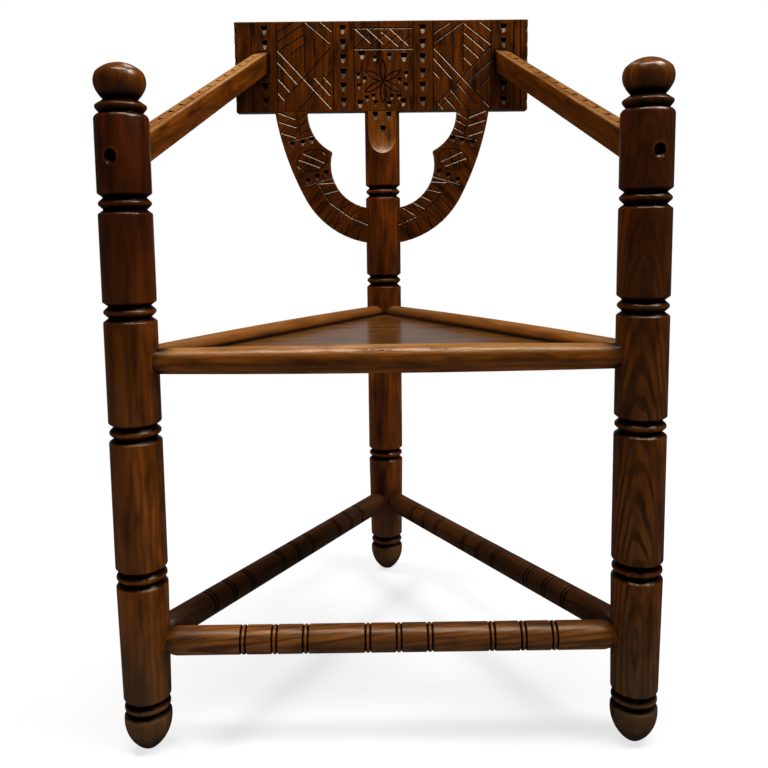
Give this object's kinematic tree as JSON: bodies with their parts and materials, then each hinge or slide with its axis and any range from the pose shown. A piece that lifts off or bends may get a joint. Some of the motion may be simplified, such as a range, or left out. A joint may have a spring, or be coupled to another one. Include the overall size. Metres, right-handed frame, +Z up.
{
  "type": "monk chair",
  "caption": "Turned oak armchair on a triangular plan, with a sunk triangular seat, a carved crest board on scrolled brackets and sloping square arms.",
  "frame": {"origin": "on the floor, at the middle of the overall box", "axes": "+X to the sitter's left hand as seen from the front, on the viewer's right; +Y to the back; +Z up"},
  "size_m": [0.595, 0.523, 0.891],
  "materials": {
    "leg_oak": "dark stained and polished",
    "rail_oak": "stained and polished",
    "seat_oak": "worn, polished",
    "carved_oak": "dark stained, dark in the cuts",
    "arm_oak": "stained and polished",
    "screw_steel": "darkened"
  },
  "bodies": {
    "root": {"front_left_leg": "leg_oak", "front_right_leg": "leg_oak", "rear_leg": "leg_oak", "front_seat_rail": "rail_oak", "left_seat_rail": "rail_oak", "right_seat_rail": "rail_oak", "front_stretcher": "rail_oak", "left_stretcher": "rail_oak", "right_stretcher": "rail_oak", "seat_panel": "seat_oak", "crest_board": "carved_oak", "left_back_bracket": "carved_oak", "right_back_bracket": "carved_oak", "left_arm": "arm_oak", "right_arm": "arm_oak", "arm_screws": "screw_steel", "crest_screws": "screw_steel"}
  },
  "joints": []
}
